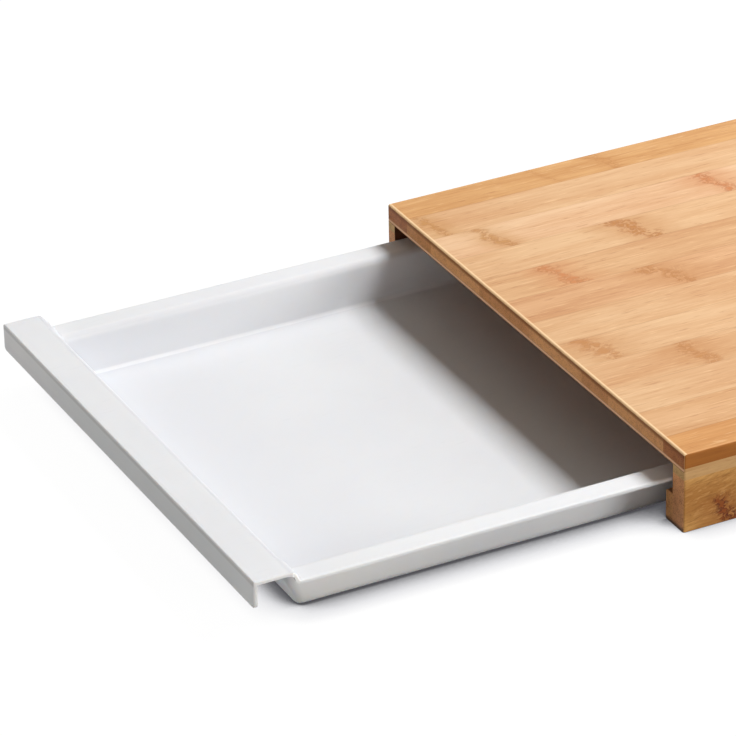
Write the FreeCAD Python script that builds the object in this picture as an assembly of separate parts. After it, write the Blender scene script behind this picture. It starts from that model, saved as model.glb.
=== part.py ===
import FreeCAD, Part
import math
import os
from FreeCAD import Vector

# Low bamboo cutting board on side rails, with a plastic catch tray that slides out of one end.
# Millimetres. While it is modelled, X = 0 is the end the tray comes out of and +X runs into the
# board, Y = 0 is the middle of the board's width with the front at -Y, and Z = 0 is the worktop.

# ---- Board ----
board_length = 380.0
board_width = 280.0
board_height = 39.0
edge_round = 1.0            # eased top edges and upright corners

# Cutting panel: staves glued edge to edge, cut to width through the outer two
stave_thickness = 7.2
stave_width = 24.2
front_stave_width = 18.0    # what is left of the stave along the front edge
ply_thickness = 1.7         # light backing ply under the staves

# Side rails: an upright wall with a light top strip, and a runner glued inside it
front_wall_thickness = 9.4
back_wall_thickness = 7.0
cap_height = 4.0
runner_width = 5.6
runner_height = 15.0
runner_round = 1.2          # rounded corners of the runner's inner side

# Cross rail at the closed end
rear_rail_thickness = 12.0

# ---- Tray ----
pull_out = 184.2            # how far the tray stands out of the board at rest
stop_gap = 0.3              # handle shoulder to rail end when the tray is shut
side_play = 0.8             # rim edge to side wall
rear_gap = 5.0              # rear rim to cross rail when the tray is shut

rim_top = 23.0
rim_width = 13.0            # from the rim's edge to where its top would meet the basin's wall
rim_thickness = 1.8
rim_corner = 14.0           # rear corners of the rim, seen from above
rim_bend = 4.0              # top of the rim rolling over into the basin
rim_edge_round = 0.8        # top of the rim's outer edge

wall_thickness = 2.2        # square to the wall
floor_thickness = 2.2
side_draft = 11.0           # side and rear walls, degrees from upright
front_draft = 23.0
basin_round = 2.4           # inner corners of the basin, wall to wall and wall to floor

# Handle: a flange above the rim, with a lip turned down at its front edge
handle_top = 29.3
handle_depth = 19.3         # from the shoulder to the front of the lip
handle_overlap = 1.7        # how far each end stands wider than the rim
handle_round = 0.8          # outer edges and the bend from flange to lip
lip_bottom = 15.9
lip_corner = 2.5            # lower corners of the lip
front_wall_set_back = 0.7   # basin's front top line, ahead of the shoulder

# Ramps that carry the side rims up to the handle flange
ramp_start = 3.5            # ahead of the shoulder
ramp_angle = 75.0           # at its steepest
ramp_crest_share = 0.78     # share of the ramp's height that the crest takes, over the foot

# ---- Derived sizes ----
half_width = board_width / 2
panel_bottom = board_height - stave_thickness
rail_top = panel_bottom - ply_thickness
cap_bottom = rail_top - cap_height

tunnel_front = -half_width + front_wall_thickness
tunnel_back = half_width - back_wall_thickness
tray_y = (tunnel_front + tunnel_back) / 2
rim_half_width = (tunnel_back - tunnel_front) / 2 - side_play
handle_half_width = rim_half_width + handle_overlap

rear_rail_front = board_length - rear_rail_thickness
shoulder_x = -pull_out - stop_gap
lip_front = shoulder_x - handle_depth
rim_rear = rear_rail_front - rear_gap - pull_out
basin_front = shoulder_x - front_wall_set_back

side_slope = math.tan(math.radians(side_draft))
side_wall_across = wall_thickness / math.cos(math.radians(side_draft))
front_slope = math.tan(math.radians(front_draft))
front_wall_across = wall_thickness / math.cos(math.radians(front_draft))

ramp_turn = math.radians(ramp_angle)
ramp_radii = (handle_top - rim_top) / (1 - math.cos(ramp_turn))
crest_radius = ramp_radii * ramp_crest_share
foot_radius = ramp_radii - crest_radius
ramp_top = shoulder_x - ramp_start
ramp_foot = ramp_top + ramp_radii * math.sin(ramp_turn)

# The finished part stands with its origin at the middle of its footprint at rest
origin_x = (board_length + lip_front) / 2


# ---- Helpers ----
def box(x0, x1, y0, y1, z0, z1):
    """A box between two opposite corners."""
    return Part.makeBox(x1 - x0, y1 - y0, z1 - z0, Vector(x0, y0, z0))


def edges_at(shape, wanted):
    """The edges whose bounding box satisfies a test."""
    return [edge for edge in shape.Edges if wanted(edge.BoundBox)]


def is_upright(bounds):
    """True when an edge's bounding box is a vertical line."""
    return near(bounds.XLength, 0) and near(bounds.YLength, 0)


def near(a, b):
    """True when two coordinates agree within the model's tolerance."""
    tolerance = 1e-4
    return abs(a - b) < tolerance


# ---- Board pieces ----
def eased_blank(bottom, top, ease_top):
    """The board's footprint between two levels, with eased upright corners and top edges."""
    blank = box(0, board_length, -half_width, half_width, bottom, top)
    blank = blank.makeFillet(edge_round, edges_at(blank, is_upright))
    if ease_top:
        rim = edges_at(blank, lambda b: near(b.ZMin, top))
        blank = blank.makeFillet(edge_round, rim)
    return blank


def top_staves():
    """The panel's staves from front to back, cut from one eased blank."""
    blank = eased_blank(panel_bottom, board_height, ease_top=True)
    staves = []
    front = -half_width
    back = front + front_stave_width
    while front < half_width:
        slab = box(0, board_length, front, back, panel_bottom, board_height)
        staves.append(blank.common(slab))
        front = back
        back = min(back + stave_width, half_width)
    return staves


def backing_ply():
    """The thin ply under the staves, as large as the board."""
    return eased_blank(rail_top, panel_bottom, ease_top=False)


def footprint_strip(x0, x1, y0, y1, bottom, top):
    """A strip of a side or cross rail, with the board's eased outer corners."""
    blank = eased_blank(bottom, top, ease_top=False)
    return blank.common(box(x0, x1, y0, y1, bottom, top))


def runner(wall_face, inward):
    """A strip glued low inside a side wall, from the open end to the cross rail."""
    edge = wall_face + inward * runner_width
    low, high = min(wall_face, edge), max(wall_face, edge)
    strip = box(0, rear_rail_front, low, high, 0, runner_height)
    inner = edges_at(strip, lambda b: near(b.YMin, edge) and near(b.YMax, edge)
                     and b.XLength > runner_width)
    return strip.makeFillet(runner_round, inner)


def board_pieces():
    """Every bamboo piece, by node name."""
    pieces = {}
    for number, stave in enumerate(top_staves(), start=1):
        pieces[f"top_stave_{number:02d}"] = stave
    pieces["backing_ply"] = backing_ply()
    sides = {"front": (-half_width, tunnel_front), "back": (tunnel_back, half_width)}
    for side, (y0, y1) in sides.items():
        pieces[f"{side}_side_wall"] = footprint_strip(0, board_length, y0, y1, 0, cap_bottom)
        pieces[f"{side}_side_cap"] = footprint_strip(0, board_length, y0, y1, cap_bottom, rail_top)
    pieces["front_runner"] = runner(tunnel_front, 1)
    pieces["back_runner"] = runner(tunnel_back, -1)
    for name, bottom, top in (("rear_rail", 0, cap_bottom), ("rear_rail_cap", cap_bottom, rail_top)):
        pieces[name] = footprint_strip(rear_rail_front, board_length, tunnel_front, tunnel_back,
                                       bottom, top)
    return pieces


# ---- Tray ----
def wall_inset(z, outward):
    """How far a side wall's face lies in from the rim's edge at one level."""
    return rim_width + (rim_top - z) * side_slope - outward * side_wall_across


def drafted_tub(bottom, outward, radius):
    """The basin's inner face, or its outer face when outward is 1, as a solid tub."""
    above = handle_top + rim_thickness
    levels = []
    for z in (bottom, above):
        front = basin_front + (handle_top - z) * front_slope - outward * front_wall_across
        inset = wall_inset(z, outward)
        levels.append((front, rim_rear - inset, rim_half_width - inset))
    (low_x0, low_x1, low_half), (high_x0, high_x1, high_half) = levels
    quarter_turn = 90
    solid = Part.makeWedge(low_x0, bottom, -low_half, -high_half, high_x0,
                           low_x1, above, low_half, high_half, high_x1)
    solid.rotate(Vector(0, 0, 0), Vector(1, 0, 0), quarter_turn)
    solid.translate(Vector(0, tray_y, 0))
    return solid.makeFillet(radius, edges_at(solid, lambda b: near(b.ZMin, bottom)))


def arc(cx, cz, radius, start, end):
    """An arc in the XZ plane between two angles from +X towards +Z, in radians."""
    def at(angle):
        return Vector(cx + radius * math.cos(angle), 0, cz + radius * math.sin(angle))
    return Part.Arc(at(start), at((start + end) / 2), at(end)).toShape()


def top_line(drop):
    """The tray's top seen from the front, from the lip to the rear, with drop of material off."""
    up = math.pi / 2
    high = handle_top - drop
    low = rim_top - drop
    crest = arc(ramp_top, handle_top - crest_radius, crest_radius - drop, up, up - ramp_turn)
    foot = arc(ramp_foot, rim_top + foot_radius, foot_radius + drop, -up - ramp_turn, -up)
    return [Part.makeLine(Vector(lip_front, 0, high), Vector(ramp_top, 0, high)), crest, foot,
            Part.makeLine(Vector(ramp_foot, 0, low), Vector(rim_rear, 0, low))]


def under_top(drop):
    """Everything below the tray's top line, as wide as the handle."""
    edges = top_line(drop)
    start = edges[0].Vertexes[0].Point
    end = edges[-1].Vertexes[-1].Point
    edges.append(Part.makeLine(end, Vector(end.x, 0, 0)))
    edges.append(Part.makeLine(Vector(end.x, 0, 0), Vector(start.x, 0, 0)))
    edges.append(Part.makeLine(Vector(start.x, 0, 0), start))
    face = Part.Face(Part.Wire(edges))
    face.translate(Vector(0, tray_y - handle_half_width, 0))
    return face.extrude(Vector(0, 2 * handle_half_width, 0))


def outline():
    """The space the rim and handle fill seen from above, with the handle's outer rounds."""
    y0 = tray_y - handle_half_width
    y1 = tray_y + handle_half_width
    handle = box(lip_front, shoulder_x, y0, y1, lip_bottom, handle_top)
    lower = edges_at(handle, lambda b: near(b.ZMax, lip_bottom) and near(b.YLength, 0))
    handle = handle.makeFillet(lip_corner, lower)
    outer = edges_at(handle, lambda b: near(b.ZMin, handle_top) or is_upright(b))
    handle = handle.makeFillet(handle_round, outer)
    rim = box(shoulder_x - handle_depth / 2, rim_rear, tray_y - rim_half_width,
              tray_y + rim_half_width, 0, handle_top)
    rear = edges_at(rim, lambda b: is_upright(b) and near(b.XMin, rim_rear))
    return handle.fuse(rim.makeFillet(rim_corner, rear)).removeSplitter()


def folded_sheet():
    """The rim, ramps, handle flange and lip: one sheet under the top line."""
    lip_inner = lip_front + rim_thickness
    y0 = tray_y - handle_half_width
    y1 = tray_y + handle_half_width
    hollow = under_top(rim_thickness).common(box(lip_inner, rim_rear, y0, y1, 0, handle_top))
    return under_top(0).cut(hollow).common(outline())


def long_edges(shape, z, inset):
    """The two edges along the tray at one level, so far in from the rim's edges."""
    half = rim_half_width - inset
    return edges_at(shape, lambda b: b.XLength > rim_width and near(b.ZMin, z)
                    and near(b.ZMax, z) and near(abs(b.YMin - tray_y), half))


def drawer_tray():
    """The moulded tray: basin, rim, ramps, handle flange and lip in one.

    Each round starts from the long edges and runs on round the ends by tangency.
    """
    outside = drafted_tub(0, 1, basin_round + wall_thickness)
    inside = drafted_tub(floor_thickness, 0, basin_round)
    tray = folded_sheet().fuse(outside.common(under_top(0))).removeSplitter()
    rim_bottom = rim_top - rim_thickness
    under_rim = long_edges(tray, rim_bottom, wall_inset(rim_bottom, 1))
    tray = tray.makeFillet(rim_bend - wall_thickness, under_rim)
    tray = tray.cut(inside).removeSplitter()
    tray = tray.makeFillet(rim_bend, long_edges(tray, rim_top, rim_width))
    return tray.makeFillet(rim_edge_round, long_edges(tray, rim_top, 0))


# ---- Output ----
def export(name, shape):
    """Write one node, moved to the part's origin."""
    placed = shape.copy()
    placed.translate(Vector(-origin_x, 0, 0))
    placed.exportStep(f"parts/{name}.step")


def main():
    os.makedirs("parts", exist_ok=True)
    pieces = board_pieces()
    pieces["drawer_tray"] = drawer_tray()
    for name, shape in pieces.items():
        export(name, shape)
        print(f"{name:16s} solids {len(shape.Solids)}  volume {shape.Volume:10.1f}  {shape.isValid()}")


main()
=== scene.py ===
import math
import bpy
from mathutils import Matrix, Vector


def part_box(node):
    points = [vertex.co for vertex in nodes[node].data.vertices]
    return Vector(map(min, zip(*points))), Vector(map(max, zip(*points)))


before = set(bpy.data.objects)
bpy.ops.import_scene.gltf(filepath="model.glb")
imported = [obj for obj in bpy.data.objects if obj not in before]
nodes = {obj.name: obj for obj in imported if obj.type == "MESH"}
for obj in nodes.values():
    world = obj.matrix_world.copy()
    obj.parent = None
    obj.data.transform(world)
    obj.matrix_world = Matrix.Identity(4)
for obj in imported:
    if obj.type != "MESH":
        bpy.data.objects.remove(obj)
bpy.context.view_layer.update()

# Metres. +X runs from the tray's handle into the board, +Y from front to back and +Z up, and the
# worktop is z = 0.


# ---- Numbers and colours shared by the materials ----
def srgb(r, g, b):
    """A display colour as linear RGBA."""
    out = []
    for v in (r, g, b):
        v /= 255
        out.append(v / 12.92 if v <= 0.04045 else ((v + 0.055) / 1.055) ** 2.4)
    return (*out, 1.0)


BOARD_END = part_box("top_stave_01")[0].x     # the end that the tray comes out of
BOARD_FAR_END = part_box("top_stave_01")[1].x
BOARD_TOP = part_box("top_stave_01")[1].z
BOARD_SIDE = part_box("top_stave_12")[1].y    # the board's long sides, from its middle
WHITE = (1.0, 1.0, 1.0, 1.0)
SPECULAR = 0.24                             # both materials are satin


def at(mm):
    """A place along the board, in millimetres from its open end."""
    return BOARD_END + mm / 1000


# ---- Node trees ----
class Tree:
    """The shader nodes of a material or a world, built by short calls that return sockets."""

    def __init__(self, owner):
        owner.use_nodes = True
        self.owner = owner
        self.nodes = owner.node_tree.nodes
        self.links = owner.node_tree.links
        self.nodes.clear()

    def node(self, kind, inputs=None, **settings):
        made = self.nodes.new(kind)
        for key, value in settings.items():
            setattr(made, key, value)
        for key, value in (inputs or {}).items():
            self.put(made.inputs[key], value)
        return made

    def put(self, socket, value):
        if isinstance(value, bpy.types.NodeSocket):
            self.links.new(value, socket)
        else:
            socket.default_value = value

    def math(self, operation, *values):
        made = self.node("ShaderNodeMath", operation=operation)
        for socket, value in zip(made.inputs, values):
            self.put(socket, value)
        return made.outputs[0]

    def add(self, a, b):
        return self.math("ADD", a, b)

    def sub(self, a, b):
        return self.math("SUBTRACT", a, b)

    def mul(self, a, b):
        return self.math("MULTIPLY", a, b)

    def absolute(self, a):
        return self.math("ABSOLUTE", a)

    def mix(self, factor, a, b, blend="MIX"):
        made = self.node("ShaderNodeMix", data_type="RGBA", blend_type=blend)
        factor_in, a_in, b_in = made.inputs[0], made.inputs[6], made.inputs[7]
        for socket, value in ((factor_in, factor), (a_in, a), (b_in, b)):
            self.put(socket, value)
        return made.outputs[2]

    def step(self, value, low, high, out_low=0.0, out_high=1.0):
        """Smoothly from out_low to out_high as value goes from low to high."""
        made = self.node("ShaderNodeMapRange", interpolation_type="SMOOTHSTEP")
        for key, number in zip(("Value", "From Min", "From Max", "To Min", "To Max"),
                               (value, low, high, out_low, out_high)):
            self.put(made.inputs[key], number)
        return made.outputs[0]

    def fall(self, value, low, high, strength=1.0):
        """strength while value is under low, and nothing once it is over high."""
        return self.step(value, low, high, strength, 0.0)

    def between(self, value, rise_from, rise_to, fall_from, fall_to):
        """1 in the middle of a range of values, with soft edges."""
        return self.mul(self.step(value, rise_from, rise_to), self.fall(value, fall_from, fall_to))

    def noise(self, vector, scale, detail=2.0, roughness=0.5, distortion=0.0):
        made = self.node("ShaderNodeTexNoise", {"Vector": vector, "Scale": scale, "Detail": detail,
                                                "Roughness": roughness, "Distortion": distortion})
        return made.outputs[0]

    def combine(self, x, y, z):
        return self.node("ShaderNodeCombineXYZ", {"X": x, "Y": y, "Z": z}).outputs[0]

    def split(self, vector):
        made = self.node("ShaderNodeSeparateXYZ", {"Vector": vector})
        return made.outputs[0], made.outputs[1], made.outputs[2]

    def coordinates(self):
        """The place and the normal on the node's own CAD mesh."""
        made = self.node("ShaderNodeTexCoord")
        return made.outputs["Object"], made.outputs["Normal"]

    def bump(self, height, distance, strength, normal=None):
        inputs = {"Height": height, "Distance": distance, "Strength": strength}
        if normal is not None:
            inputs["Normal"] = normal
        return self.node("ShaderNodeBump", inputs).outputs[0]

    def backdrop_rays(self):
        """1 for the rays that see the white backdrop: the camera's, and those in gloss or glass."""
        rays = self.node("ShaderNodeLightPath").outputs
        mirrored = self.math("MAXIMUM", rays["Is Glossy Ray"], rays["Is Transmission Ray"])
        return self.math("MAXIMUM", rays["Is Camera Ray"], mirrored)

    def choose(self, factor, a, b):
        """Shader a where factor is 0, and b where it is 1."""
        return self.node("ShaderNodeMixShader", {0: factor, 1: a, 2: b}).outputs[0]

    def principled(self, colour, roughness, normal, **uniform):
        made = self.node("ShaderNodeBsdfPrincipled", {"Base Color": colour, "Roughness": roughness,
                                                      "Normal": normal})
        for key, value in uniform.items():
            made.inputs[key.replace("_", " ")].default_value = value
        return made.outputs[0]

    def finish(self, shader):
        kind = "World" if isinstance(self.owner, bpy.types.World) else "Material"
        self.node(f"ShaderNodeOutput{kind}", {"Surface": shader})
        return self.owner


# ---- Bamboo ----
# Pairs of a light and a dark colour. First the tones of the top's staves
TOP = {
    "light": (srgb(230, 193, 154), srgb(213, 165, 123)),
    "pale": (srgb(223, 184, 141), srgb(206, 157, 112)),
    "peach": (srgb(221, 179, 134), srgb(198, 147, 102)),
    "honey": (srgb(218, 173, 128), srgb(197, 145, 96)),
    "rosy": (srgb(216, 169, 125), srgb(194, 140, 96)),
    "amber": (srgb(222, 174, 118), srgb(197, 143, 88)),
    "edge": (srgb(214, 158, 98), srgb(191, 131, 75)),
    "raw": (srgb(196, 134, 84), srgb(160, 100, 56)),
}
SIDE = (srgb(214, 162, 92), srgb(172, 117, 56))
SIDE_EDGE = (srgb(170, 104, 36), srgb(132, 74, 20))
LIGHT_SIDE = (srgb(206, 164, 112), srgb(178, 132, 78))
END_RED = (srgb(162, 98, 50), srgb(112, 61, 28))
END_OLIVE = (srgb(208, 149, 92), srgb(160, 106, 63))
END_LIGHT = (srgb(198, 144, 101), srgb(169, 113, 74))
END_RAIL = (srgb(216, 153, 103), srgb(154, 99, 60))
END_RUNNER = (srgb(214, 153, 95), srgb(148, 95, 55))
END_CAP = (srgb(198, 160, 106), srgb(154, 116, 70))
END_BROWN = (srgb(190, 130, 76), srgb(142, 92, 50))

# Colours of a node mark's patch
RED = srgb(194, 120, 68)
BROWN = srgb(182, 122, 64)
OLIVE = srgb(184, 130, 68)
KNOT = srgb(138, 70, 20)
FAR_KNOT = srgb(146, 80, 30)
REAR_KNOT = srgb(150, 80, 30)

# Small markings
TICK_SHADE = srgb(190, 140, 105)            # multiplies the face where a fibre is dark
PALE_TICK = srgb(244, 208, 162)
CURL = srgb(158, 98, 52)
SIDE_CURL = srgb(92, 38, 8)
MARK_ON_EDGE = srgb(120, 66, 30)
DARK_FLECK = srgb(126, 78, 34)
PALE_FLECK = srgb(228, 180, 112)
SEAM = srgb(150, 102, 62)
INSIDE_SHADE = srgb(96, 54, 30)                   # painted shade on the side walls' and caps' faces towards the tray
FOOT_SHADE = srgb(40, 20, 10)                    # painted shade at the foot of an end
# Painted highlight along the top's two ends, and the dark line painted below it
TOP_END_HIGHLIGHT = srgb(255, 222, 176)
LINE_BELOW = srgb(112, 56, 0)
# painted highlight on the rounded top edge at the ends
ROUNDING_HIGHLIGHT = srgb(248, 206, 152)
PLY_CORE = srgb(236, 196, 156)
GLUE = srgb(84, 46, 18)
PLY_FOOT = srgb(70, 34, 12)


def knuckle(tree, along, across, start, width, slant, seed):
    """Where a culm's node crosses a strip: a blotched patch in a faint haze, and fine squiggles."""
    half_along = tree.mul(along, 0.5)
    wander = tree.noise(tree.combine(half_along, across, seed), 100, 2.0, 0.5)
    ragged = tree.noise(tree.combine(half_along, across, seed + 5), 270, 2.0, 0.5)
    shift = tree.add(tree.mul(tree.sub(wander, 0.5), width * 1.6),
                     tree.mul(tree.sub(ragged, 0.5), width * 0.9))
    shift = tree.add(shift, tree.mul(across, slant))
    off = tree.absolute(tree.add(tree.sub(along, start), shift))
    core = tree.fall(off, width * 0.10, width * 0.85)
    haze = tree.fall(off, width * 0.40, width * 2.2, 0.38)
    curls = tree.noise(tree.combine(tree.mul(along, 0.9), across, seed + 3), 300, 3.0, 0.6, 0.9)
    body = tree.mul(core, tree.step(curls, 0.32, 0.66, 0.48, 1.0))
    lines = tree.fall(tree.absolute(tree.sub(curls, 0.50)), 0.0, 0.06)
    return tree.math("MAXIMUM", body, haze), tree.mul(lines, core)


def bamboo(name, top, side, end, seed, edges=None, marks=(), marks_on="top", runs="X",
           eased=True, flecked=0.0, glued=None):
    """Laminated bamboo: fibres along one axis, node marks across it and dotted end grain.

    edges are the two sides of a stave, where its seams are, and glued is the height of a ply's
    lower and upper face. eased pieces get painted highlights along the top's two ends. flecked is
    how strongly the sides are flecked, and it also brings painted shade onto the faces towards the
    tray.
    """
    tree = Tree(bpy.data.materials.new(name))
    place, normal = tree.coordinates()
    x, y, z = tree.split(place)
    nx, ny, nz = tree.split(normal)
    along, across, endways, sideways = (x, y, nx, ny) if runs == "X" else (y, x, ny, nx)
    endways = tree.absolute(endways)
    sideways = tree.absolute(sideways)

    def grain(stretch, scale, detail, roughness, offset, distortion=0.0):
        """A noise that is stretched along the fibres."""
        vector = tree.combine(tree.add(tree.mul(along, stretch), offset), across, z)
        return tree.noise(vector, scale, detail, roughness, distortion)

    fine = grain(0.022, 1500, 3.0, 0.65, seed)
    strands = grain(0.05, 420, 2.0, 0.6, seed + 1.7, 0.25)
    bands = grain(0.09, 110, 2.0, 0.55, seed + 4.1, 0.2)
    clouds = grain(0.35, 26, 2.0, 0.5, seed + 7.3)
    ticks = grain(0.08, 1000, 2.0, 0.55, seed + 9.9, 0.5)
    tone = tree.add(tree.add(tree.mul(fine, 0.45), tree.mul(strands, 0.5)),
                    tree.add(tree.mul(bands, 0.8), tree.mul(clouds, 0.85)))
    tone = tree.step(tone, 0.94, 1.66)
    ticked = tree.step(ticks, 0.58, 0.74, 0.0, 0.38)

    def fibres(light, dark):
        face = tree.mix(tone, light, dark)
        return tree.mix(ticked, face, tree.mix(1.0, face, TICK_SHADE, "MULTIPLY"))

    top_face = tree.mix(tree.fall(ticks, 0.28, 0.42, 0.35), fibres(*top), PALE_TICK)
    side_face = fibres(*side)

    ridge = 0.0
    for start, width, slant, strength, colour in marks:
        cross = tree.sub(across, sum(edges) / 2) if marks_on == "top" else z
        patch, curls = knuckle(tree, along, cross, start, width, slant, seed + start * 50)
        ridge = tree.add(ridge, patch)
        patch = tree.mul(patch, strength)
        if marks_on == "top":
            curls = tree.mul(curls, strength * 0.5)
            top_face = tree.mix(curls, tree.mix(patch, top_face, colour), CURL)
            side_face = tree.mix(tree.mul(patch, 0.8), side_face, MARK_ON_EDGE)
        else:
            low_down = tree.step(z, 0.010, 0.017, 1.0, 0.10)
            patch = tree.mul(patch, low_down)
            curls = tree.mul(tree.mul(curls, strength), low_down)
            side_face = tree.mix(curls, tree.mix(patch, side_face, colour), SIDE_CURL)

    if flecked:
        leaning = tree.sub(z, tree.mul(along, 0.24))
        flecks = tree.noise(tree.combine(tree.mul(along, 0.22), leaning, seed), 820, 3.0, 0.55, 0.6)
        side_face = tree.mix(tree.step(flecks, 0.52, 0.70, 0.0, 0.46 * flecked), side_face,
                             DARK_FLECK)
        side_face = tree.mix(tree.fall(flecks, 0.32, 0.46, 0.30 * flecked), side_face, PALE_FLECK)
        # Painted shade on the faces turned towards the tray, in the slot
        inner_face_shade = tree.fall(tree.absolute(across), BOARD_SIDE - 0.0040, BOARD_SIDE - 0.0015)
        side_face = tree.mix(inner_face_shade, side_face, INSIDE_SHADE)
    if edges:
        low, high = edges
        to_edge = tree.math("MINIMUM", tree.sub(across, low), tree.sub(high, across))
        seam = tree.mul(tree.fall(to_edge, 0.00012, 0.00042),
                        tree.step(strands, 0.35, 0.62, 0.25, 0.85))
        top_face = tree.mix(tree.mul(seam, 0.34), top_face, SEAM)

    # End grain: the fibre bundles, cut across, are small dark dots
    end_place = tree.combine(tree.add(tree.mul(along, 0.02), seed), across, z)
    dots = tree.node("ShaderNodeTexVoronoi", {"Vector": end_place, "Scale": 1500.0,
                                              "Randomness": 0.9}).outputs["Distance"]
    soft = tree.noise(end_place, 320, 3.0, 0.6)
    end_tone = tree.add(tree.mul(tree.fall(dots, 0.16, 0.44), 0.45), tree.mul(soft, 0.9))
    end_face = tree.mix(tree.step(end_tone, 0.35, 0.95), *end)
    # Painted shade along the foot of an end, where it meets the worktop
    end_face = tree.mix(tree.fall(z, 0.0006, 0.0026, 0.85), end_face, FOOT_SHADE)

    if eased:
        # A painted highlight along the top's two ends, with a dark line painted below it on the end
        to_end = tree.math("MINIMUM", tree.sub(along, BOARD_END), tree.sub(BOARD_FAR_END, along))
        top_face = tree.mix(tree.fall(to_end, 0.0012, 0.0019, 0.75), top_face, TOP_END_HIGHLIGHT)
        below = tree.step(z, BOARD_TOP - 0.0030, BOARD_TOP - 0.0014, 0.0, 0.8)
        end_face = tree.mix(below, end_face, LINE_BELOW)
    if glued:
        # The ply's pale core between two dark lines: the glue above it and its lower edge
        low, high = glued
        from_middle = tree.absolute(tree.sub(z, (low + high) / 2))
        end_face = tree.mix(tree.fall(from_middle, 0.0003, 0.0007, 0.6), end_face, PLY_CORE)
        end_face = tree.mix(tree.step(z, high - 0.0004, high - 0.0001, 0.0, 0.35), end_face, GLUE)
        end_face = tree.mix(tree.fall(z, low + 0.0001, low + 0.0005, 0.6), end_face, PLY_FOOT)

    colour = tree.mix(tree.step(sideways, 0.55, 0.85), top_face, side_face)
    colour = tree.mix(tree.step(endways, 0.60, 0.88), colour, end_face)
    if eased:
        # Painted highlight where the top edge rounds over at the ends
        highlight_mask = tree.between(nz, 0.22, 0.50, 0.86, 0.98)
        highlight_mask = tree.mul(highlight_mask, tree.step(endways, 0.16, 0.34))
        highlight_mask = tree.mul(highlight_mask, tree.step(strands, 0.2, 0.7, 1.0, 0.7))
        colour = tree.mix(highlight_mask, colour, ROUNDING_HIGHLIGHT)

    relief = tree.add(tree.mul(fine, 0.6), tree.mul(strands, 0.5))
    if marks:
        relief = tree.add(relief, tree.mul(ridge, 0.35))
    rough = tree.add(tree.mul(fine, 0.5), tree.mul(bands, 0.5))
    rough = tree.step(rough, 0.3, 0.7, 0.50, 0.64)
    bumped = tree.bump(relief, distance=0.00012, strength=0.5)
    return tree.finish(tree.principled(colour, rough, bumped, Specular_IOR_Level=SPECULAR))


def dress(name, material):
    """One material on every slot of a node."""
    mesh = nodes[name].data
    if not mesh.materials:
        mesh.materials.append(material)
    for number in range(len(mesh.materials)):
        mesh.materials[number] = material


# Each stave: its tone, its end's colour, and its node marks as
# (millimetres from the open end, width in millimetres, slant, strength, colour)
STAVES = {
    1: ("edge", END_RED, ((262, 9, 0.3, 0.5, BROWN),)),
    2: ("honey", END_OLIVE, ((196, 11, 0.3, 0.6, RED),)),
    3: ("pale", END_OLIVE, ((236, 12, 0.4, 0.6, OLIVE),)),
    4: ("pale", END_BROWN, ((53.6, 11, 0.36, 0.75, BROWN), (318, 12, 0.4, 0.7, RED))),
    5: ("pale", END_OLIVE, ((16.4, 11, 0.36, 0.8, BROWN), (275, 11, 0.4, 0.6, BROWN))),
    6: ("pale", END_OLIVE, ((214, 12, 0.3, 0.6, OLIVE),)),
    7: ("rosy", END_BROWN, ((81, 12, 0.55, 0.8, BROWN), (345, 11, 0.3, 0.6, RED))),
    8: ("peach", END_BROWN, ((36, 10, 0.38, 0.8, RED), (296, 10, 0.4, 0.6, BROWN))),
    9: ("pale", END_OLIVE, ((90.4, 12, 0.60, 1.0, BROWN), (350, 10, 0.4, 0.6, OLIVE))),
    10: ("light", END_OLIVE, ((27.6, 8, 0.4, 0.85, OLIVE), (149, 10, 0.3, 0.95, RED))),
    11: ("pale", END_BROWN, ((7, 6, 0.3, 0.8, OLIVE), (254, 12, 0.4, 0.6, BROWN))),
    12: ("amber", END_RED, ((80, 3, 0.5, 0.35, BROWN), (113, 8, 0.3, 0.65, BROWN))),
}
for number, (tone, end, marks) in STAVES.items():
    node = f"top_stave_{number:02d}"
    low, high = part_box(node)
    spots = [(at(mm), width / 1000, slant, strength, colour)
             for mm, width, slant, strength, colour in marks]
    dress(node, bamboo(f"bamboo_stave_{number:02d}", TOP[tone], SIDE_EDGE, end, number * 3.1,
                       edges=(low.y, high.y), marks=spots))

ply_low, ply_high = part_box("backing_ply")
dress("backing_ply", bamboo("bamboo_ply", TOP["raw"], LIGHT_SIDE, END_LIGHT, 51.0, eased=False,
                            glued=(ply_low.z, ply_high.z)))
for side, seed in (("front", 61.0), ("back", 67.0)):
    knots = [(at(24), 0.009, 0.25, 1.2, KNOT), (at(268), 0.010, 0.2, 0.9, FAR_KNOT)]
    dress(f"{side}_side_wall", bamboo(f"bamboo_wall_{side}", TOP["honey"], SIDE, END_RAIL, seed,
                                      marks=knots, marks_on="side", eased=False, flecked=1.0))
    dress(f"{side}_side_cap", bamboo(f"bamboo_cap_{side}", TOP["honey"], LIGHT_SIDE, END_CAP,
                                     seed + 2, eased=False, flecked=0.3))
    dress(f"{side}_runner", bamboo(f"bamboo_runner_{side}", TOP["raw"], SIDE, END_RUNNER, seed + 4,
                                   eased=False))
dress("rear_rail", bamboo("bamboo_rear", TOP["honey"], SIDE, END_RED, 81.0, runs="Y", eased=False,
                          marks=[(0.031, 0.009, 0.2, 0.8, REAR_KNOT)], marks_on="side"))
dress("rear_rail_cap", bamboo("bamboo_rear_cap", TOP["honey"], LIGHT_SIDE, END_OLIVE, 83.0,
                              runs="Y", eased=False))


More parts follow.
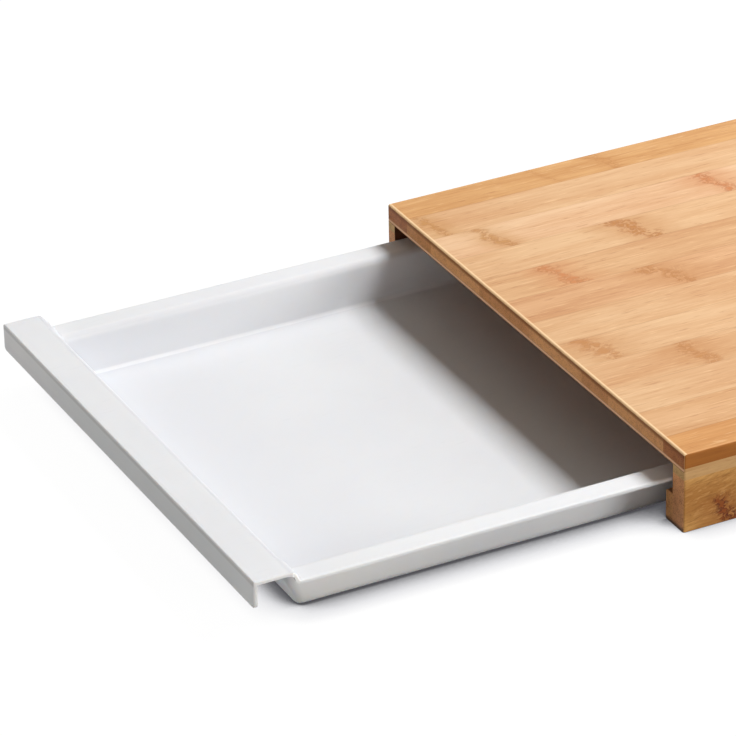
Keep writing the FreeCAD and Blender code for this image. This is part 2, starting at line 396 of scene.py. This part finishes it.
# ---- Moulded plastic ----
def plastic():
    """White moulded plastic: a faint texture, soft ripples from the mould, light scuffs, and
    painted shade and light in places.
    """
    tree = Tree(bpy.data.materials.new("tray_plastic"))
    place, normal = tree.coordinates()
    x, y, z = tree.split(place)
    nx, ny, nz = tree.split(normal)
    clouds = tree.noise(place, 14, 3.0, 0.5)
    peel = tree.noise(place, 1400, 2.0, 0.5)
    ripple = tree.noise(place, 55, 1.0, 0.4)
    scuffs = tree.noise(tree.combine(tree.mul(x, 0.12), y, tree.mul(z, 0.4)), 700, 2.0, 0.6, 0.8)
    scuffs = tree.step(scuffs, 0.60, 0.74)

    upward = tree.step(nz, -0.1, 0.1)
    # Painted shade in the basin, below the rim, darker towards the handle
    basin_shade = tree.mul(tree.mul(upward, tree.fall(z, 0.0185, 0.0225)),
                      tree.fall(x, BOARD_END - 0.19, BOARD_END - 0.05))
    # Painted shade on the wall by the handle, which faces the board: it is darkened most
    board_facing_shade = tree.mul(tree.step(nx, 0.0, 0.32), upward)
    # Painted shade on the bend from the back rim into the basin
    back_bend_shade = tree.mul(tree.between(ny, -0.96, -0.70, -0.55, -0.1),
                         tree.step(y, 0.0, 0.01, 0.0, 0.7))
    # Painted light on the front wall outside, paler towards the handle
    front_side_light = tree.mul(tree.mul(tree.fall(ny, -0.9, -0.6), tree.fall(y, -0.01, 0.0)),
                          tree.fall(x, BOARD_END - 0.17, BOARD_END - 0.07))
    # Light gathers in the round between the walls and the floor
    basin_round = tree.mul(tree.between(nz, 0.25, 0.55, 0.86, 0.98),
                           tree.fall(z, 0.0050, 0.0075))
    # Painted shade on the lip, but for its far end, and darkest just below its bend
    lip_shade = tree.mul(tree.fall(nx, -0.98, -0.90), tree.fall(y, 0.02, 0.13))
    below_bend_shade = tree.mul(tree.between(z, 0.0266, 0.0276, 0.0284, 0.0290),
                          tree.fall(nx, -0.9, -0.6, 0.65))

    colour = tree.mix(tree.step(clouds, 0.3, 0.7), srgb(233, 235, 238), srgb(229, 231, 235))
    for mask, shade in (
        (tree.mul(scuffs, 0.18), srgb(218, 220, 224)),
        (basin_shade, srgb(224, 226, 231)),
        (board_facing_shade, srgb(202, 204, 209)),
        (back_bend_shade, srgb(216, 218, 222)),
        (front_side_light, srgb(246, 247, 248)),
        (basin_round, srgb(239, 240, 243)),
        (lip_shade, srgb(218, 222, 226)),
        (below_bend_shade, srgb(190, 192, 193)),
    ):
        colour = tree.mix(mask, colour, shade)
    rough = tree.add(tree.step(clouds, 0.3, 0.7, 0.44, 0.52), tree.mul(scuffs, 0.10))
    bumped = tree.bump(peel, distance=0.00002, strength=0.35)
    bumped = tree.bump(ripple, distance=0.00025, strength=0.25, normal=bumped)
    return tree.finish(tree.principled(colour, rough, bumped, Specular_IOR_Level=SPECULAR,
                                       Subsurface_Weight=0.45, Subsurface_Scale=0.0022,
                                       Subsurface_Radius=(1.0, 0.85, 0.75)))


dress("drawer_tray", plastic())


# ---- Floor ----
def floor_material():
    """A pale matt floor. The camera sees it as white, with painted shade that darkens it softly
    close to the object.
    """
    tree = Tree(bpy.data.materials.new("floor_pale"))
    matt = tree.node("ShaderNodeBsdfDiffuse", {"Color": (0.48, 0.48, 0.48, 1.0)}).outputs[0]
    close = tree.node("ShaderNodeAmbientOcclusion", {"Distance": 0.022}, samples=16)
    close = close.outputs["AO"]
    tight = tree.mix(tree.step(close, 0.30, 0.62), srgb(88, 88, 92), WHITE)
    wide = tree.mix(tree.step(close, 0.50, 0.94), srgb(226, 226, 229), WHITE)
    shade = tree.mix(1.0, tight, wide, "MULTIPLY")
    glow = tree.node("ShaderNodeEmission", {"Color": shade, "Strength": 0.98}).outputs[0]
    lit = tree.node("ShaderNodeBsdfDiffuse", {"Color": (0.06, 0.06, 0.06, 1.0)}).outputs[0]
    seen = tree.node("ShaderNodeAddShader", {0: lit, 1: glow}).outputs[0]
    return tree.finish(tree.choose(tree.backdrop_rays(), matt, seen))


FLOOR_REACH = 12.0
FLOOR_DROP = 0.0002         # keeps the floor just clear of the undersides
corners = [(sx * FLOOR_REACH, sy * FLOOR_REACH, 0)
           for sx, sy in ((-1, -1), (1, -1), (1, 1), (-1, 1))]
floor_mesh = bpy.data.meshes.new("floor")
floor_mesh.from_pydata(corners, [], [(0, 1, 2, 3)])
floor_mesh.materials.append(floor_material())
floor = bpy.data.objects.new("floor", floor_mesh)
bpy.context.scene.collection.objects.link(floor)
floor.location.z = -FLOOR_DROP


# ---- Light ----
def softbox(name, target, direction, distance, size, watts, colour=(1, 1, 1)):
    """A rectangular soft light that faces the target, from the given direction."""
    data = bpy.data.lights.new(name, "AREA")
    data.shape = "RECTANGLE"
    data.size, data.size_y = size
    data.energy, data.color = watts, colour
    light = bpy.data.objects.new(name, data)
    direction = Vector(direction).normalized()
    light.location = Vector(target) + direction * distance
    light.rotation_euler = direction.to_track_quat("Z", "Y").to_euler()
    bpy.context.scene.collection.objects.link(light)


WARM = (1.0, 0.985, 0.95)
softbox("key", target=(-0.05, 0, 0.02), direction=(0.61, -0.02, 0.792), distance=2.2,
        size=(2.6, 0.75), watts=65.0)
softbox("front_fill", target=(0.0, 0, 0.02), direction=(0.58, -0.77, 0.30), distance=2.0,
        size=(0.8, 0.50), watts=16.5, colour=WARM)
softbox("end_fill", target=(-0.10, 0, 0.03), direction=(-1.0, 0.04, 0.10), distance=2.0,
        size=(1.2, 0.28), watts=7.3, colour=WARM)

world = bpy.data.worlds.new("studio")
bpy.context.scene.world = world
sky = Tree(world)
dome = sky.node("ShaderNodeBackground", {"Color": (1.0, 0.88, 0.75, 1.0), "Strength": 0.155})
backdrop = sky.node("ShaderNodeBackground", {"Color": WHITE})
sky.finish(sky.choose(sky.backdrop_rays(), dome.outputs[0], backdrop.outputs[0]))
bpy.context.scene.view_settings.view_transform = "Standard"


# ---- Camera, fitted to the photograph's straight edges ----
AZIMUTH, ELEVATION, ROLL = (math.radians(v) for v in (-26.53, 28.42, -1.24))
CAMERA_PLACE = (BOARD_END - 0.9199, -1.6778, 1.0522)
back = Vector((math.sin(AZIMUTH) * math.cos(ELEVATION), -math.cos(AZIMUTH) * math.cos(ELEVATION),
               math.sin(ELEVATION)))
right = Vector((0, 0, 1)).cross(back).normalized()
up = back.cross(right)
turned_right = right * math.cos(ROLL) + up * math.sin(ROLL)
turned_up = up * math.cos(ROLL) - right * math.sin(ROLL)
turn = Matrix((turned_right, turned_up, back)).transposed().to_4x4()
camera_data = bpy.data.cameras.new("camera")
camera_data.lens = 231.9
camera_data.sensor_width = 36.0
camera_data.clip_end = 60.0
camera = bpy.data.objects.new("camera", camera_data)
camera.matrix_world = Matrix.Translation(CAMERA_PLACE) @ turn
bpy.context.scene.collection.objects.link(camera)
bpy.context.scene.camera = camera

bpy.context.view_layer.update()
